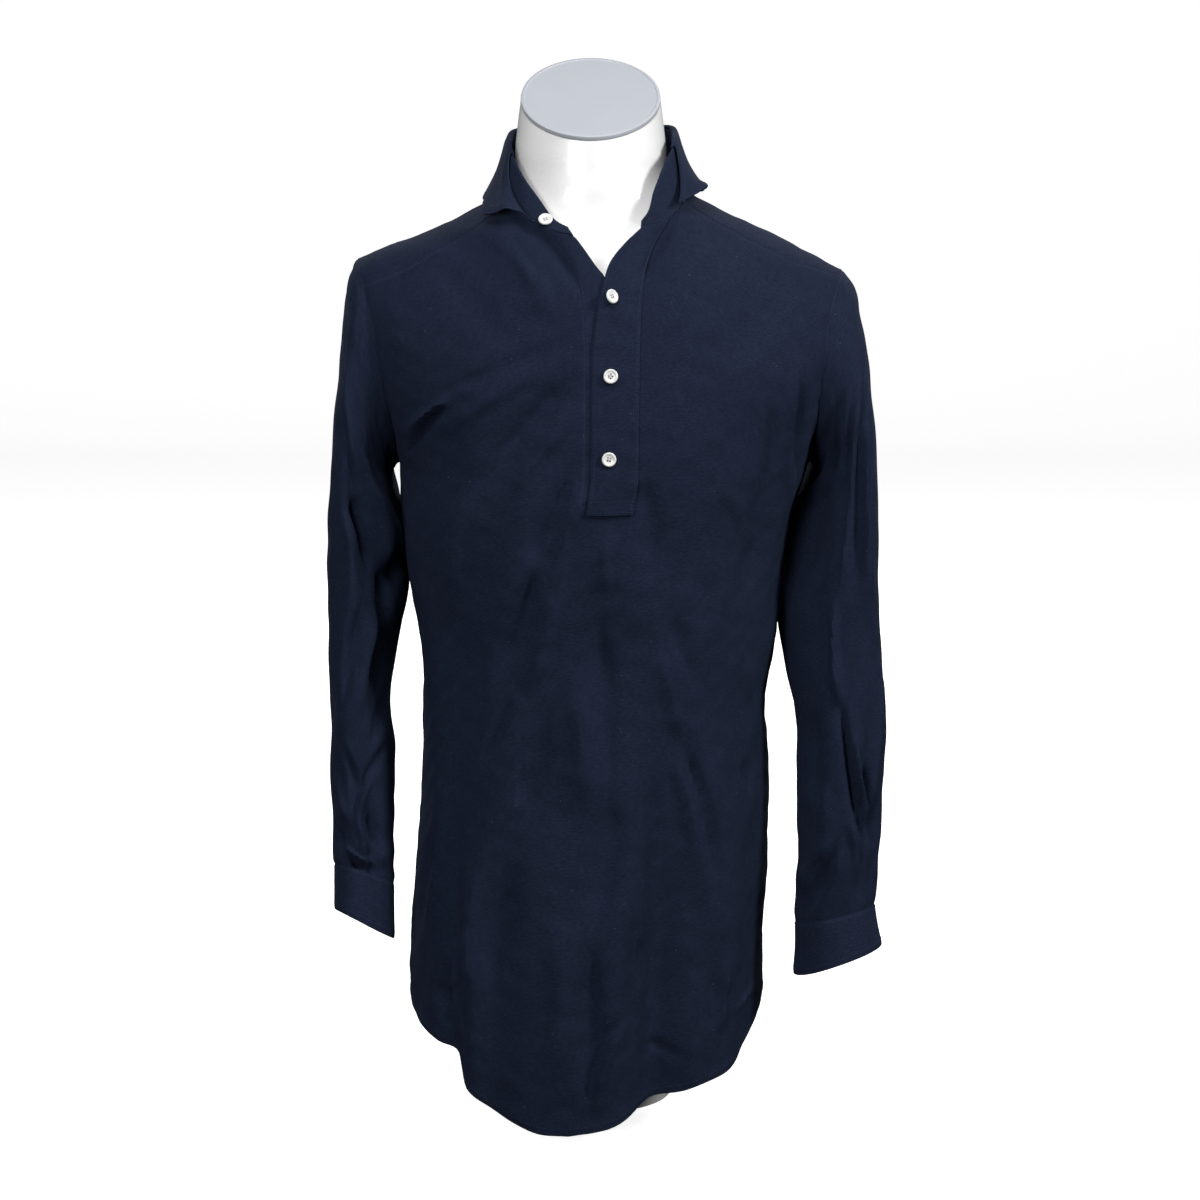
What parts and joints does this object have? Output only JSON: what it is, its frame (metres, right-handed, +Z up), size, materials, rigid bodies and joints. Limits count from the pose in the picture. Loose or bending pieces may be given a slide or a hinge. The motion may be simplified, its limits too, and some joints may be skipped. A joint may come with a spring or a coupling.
{
  "type": "polo shirt on torso dress form",
  "caption": "Long-sleeved polo shirt with a half placket, unfastened shirt collar and curved hem, standing on a limbless torso dress form with a short oval plinth.",
  "frame": {"origin": "centre of the plinth's flat underside, on the floor", "axes": "+Z up along the torso, -Y towards the shirt's front, +X to the viewer's right"},
  "size_m": [0.4672, 0.2795, 0.8862],
  "materials": {
    "navy_cloth": "soft matt knit, slightly faded",
    "white_button": "satin",
    "white_form": "semi-gloss",
    "grey_cap": "matt"
  },
  "bodies": {
    "root": {"front": "navy_cloth", "back": "navy_cloth", "yoke": "navy_cloth", "placket_under": "navy_cloth", "placket_over": "navy_cloth", "collar_band": "navy_cloth", "collar_leaf": "navy_cloth", "sleeve_left": "navy_cloth", "sleeve_right": "navy_cloth", "cuff_left": "navy_cloth", "cuff_right": "navy_cloth", "button_top": "white_button", "button_middle": "white_button", "button_bottom": "white_button", "button_band": "white_button", "torso_form": "white_form", "neck_cap": "grey_cap"}
  },
  "joints": []
}
